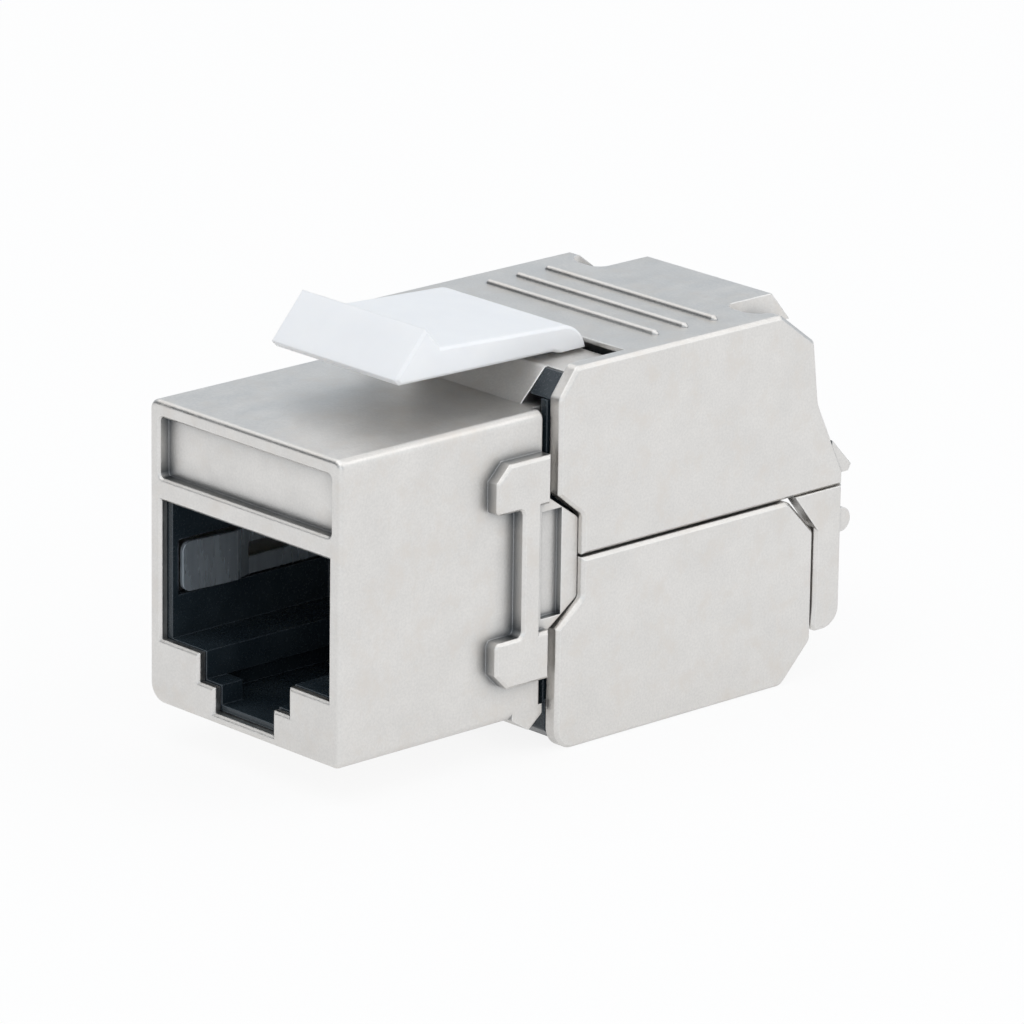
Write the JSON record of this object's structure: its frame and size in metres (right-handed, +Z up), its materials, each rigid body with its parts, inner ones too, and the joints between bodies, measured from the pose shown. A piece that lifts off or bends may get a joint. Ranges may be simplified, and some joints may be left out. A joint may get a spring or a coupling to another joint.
{
  "type": "keystone jack",
  "caption": "Shielded tool-less keystone jack: zinc front shell with an 8P8C port, a white snap latch, and two hinged rear lids that press the wires into place.",
  "frame": {"origin": "middle of the assembly's base, on the lower lid's flat underside", "axes": "X across the jack, +Y from the plug port towards the cable, +Z up towards the snap latch"},
  "size_m": [0.0162, 0.0348, 0.0227],
  "materials": {
    "nickel_plated_zinc": "satin nickel plating over a finely grained zinc casting",
    "black_plastic": "satin moulded",
    "white_plastic": "smooth, slightly translucent moulding",
    "spring_steel": "polished sheet",
    "gold_plated_wire": "gold-plated strip",
    "tinned_bronze": "tinned sheet",
    "circuit_board": "green solder mask"
  },
  "bodies": {
    "jack": {"front_shell": "nickel_plated_zinc", "port_insert": "black_plastic", "circuit_board": "circuit_board", "terminal_block": "black_plastic", "wire_manager": "black_plastic", "idc_terminal_1": "tinned_bronze", "idc_terminal_2": "tinned_bronze", "idc_terminal_3": "tinned_bronze", "idc_terminal_4": "tinned_bronze", "idc_terminal_5": "tinned_bronze", "idc_terminal_6": "tinned_bronze", "idc_terminal_7": "tinned_bronze", "idc_terminal_8": "tinned_bronze"},
    "upper_lid": {"upper_lid": "nickel_plated_zinc", "upper_press_pad": "black_plastic", "locking_yoke": "nickel_plated_zinc"},
    "lower_lid": {"lower_lid": "nickel_plated_zinc", "lower_press_pad": "black_plastic"},
    "latch": {"latch": "white_plastic"},
    "left_spring": {"shield_spring_left": "spring_steel"},
    "right_spring": {"shield_spring_right": "spring_steel"},
    "contact_1": {"contact_1": "gold_plated_wire"},
    "contact_2": {"contact_2": "gold_plated_wire"},
    "contact_3": {"contact_3": "gold_plated_wire"},
    "contact_4": {"contact_4": "gold_plated_wire"},
    "contact_5": {"contact_5": "gold_plated_wire"},
    "contact_6": {"contact_6": "gold_plated_wire"},
    "contact_7": {"contact_7": "gold_plated_wire"},
    "contact_8": {"contact_8": "gold_plated_wire"}
  },
  "joints": [
    {"name": "upper_lid_hinge", "type": "hinge", "parent": "jack", "child": "upper_lid", "pos_m": [0, -0.00095, 0.0185], "axis": [1, 0, 0], "range_deg": [0, 70]},
    {"name": "lower_lid_hinge", "type": "hinge", "parent": "jack", "child": "lower_lid", "pos_m": [0, -0.00095, 0.00165], "axis": [1, 0, 0], "range_deg": [-70, 0]},
    {"name": "latch_flex", "type": "hinge", "parent": "jack", "child": "latch", "pos_m": [0, 0.0005, 0.01982], "axis": [1, 0, 0], "range_deg": [0, 4.5], "stiffness_Nm_per_rad": 0.6},
    {"name": "contact_1_flex", "type": "hinge", "parent": "jack", "child": "contact_1", "pos_m": [-0.00357, -0.0048, 0.0094], "axis": [-1, 0, 0], "range_deg": [0, 6], "stiffness_Nm_per_rad": 0.02},
    {"name": "contact_2_flex", "type": "hinge", "parent": "jack", "child": "contact_2", "pos_m": [-0.00255, -0.0048, 0.0094], "axis": [-1, 0, 0], "range_deg": [0, 6], "stiffness_Nm_per_rad": 0.02},
    {"name": "contact_3_flex", "type": "hinge", "parent": "jack", "child": "contact_3", "pos_m": [-0.00153, -0.0048, 0.0094], "axis": [-1, 0, 0], "range_deg": [0, 6], "stiffness_Nm_per_rad": 0.02},
    {"name": "contact_4_flex", "type": "hinge", "parent": "jack", "child": "contact_4", "pos_m": [-0.00051, -0.0048, 0.0094], "axis": [-1, 0, 0], "range_deg": [0, 6], "stiffness_Nm_per_rad": 0.02},
    {"name": "contact_5_flex", "type": "hinge", "parent": "jack", "child": "contact_5", "pos_m": [0.00051, -0.0048, 0.0094], "axis": [-1, 0, 0], "range_deg": [0, 6], "stiffness_Nm_per_rad": 0.02},
    {"name": "contact_6_flex", "type": "hinge", "parent": "jack", "child": "contact_6", "pos_m": [0.00153, -0.0048, 0.0094], "axis": [-1, 0, 0], "range_deg": [0, 6], "stiffness_Nm_per_rad": 0.02},
    {"name": "contact_7_flex", "type": "hinge", "parent": "jack", "child": "contact_7", "pos_m": [0.00255, -0.0048, 0.0094], "axis": [-1, 0, 0], "range_deg": [0, 6], "stiffness_Nm_per_rad": 0.02},
    {"name": "contact_8_flex", "type": "hinge", "parent": "jack", "child": "contact_8", "pos_m": [0.00357, -0.0048, 0.0094], "axis": [-1, 0, 0], "range_deg": [0, 6], "stiffness_Nm_per_rad": 0.02},
    {"name": "right_spring_flex", "type": "hinge", "parent": "jack", "child": "right_spring", "pos_m": [0.00615, -0.00715, 0.00914], "axis": [0, 0, 1], "range_deg": [0, 2.5], "stiffness_Nm_per_rad": 0.05},
    {"name": "left_spring_flex", "type": "hinge", "parent": "jack", "child": "left_spring", "pos_m": [-0.00615, -0.00715, 0.00914], "axis": [0, 0, -1], "range_deg": [0, 2.5], "stiffness_Nm_per_rad": 0.05}
  ],
  "couplings": [
    {"joint": "lower_lid_hinge", "follows": "upper_lid_hinge", "ratio": -1}
  ]
}
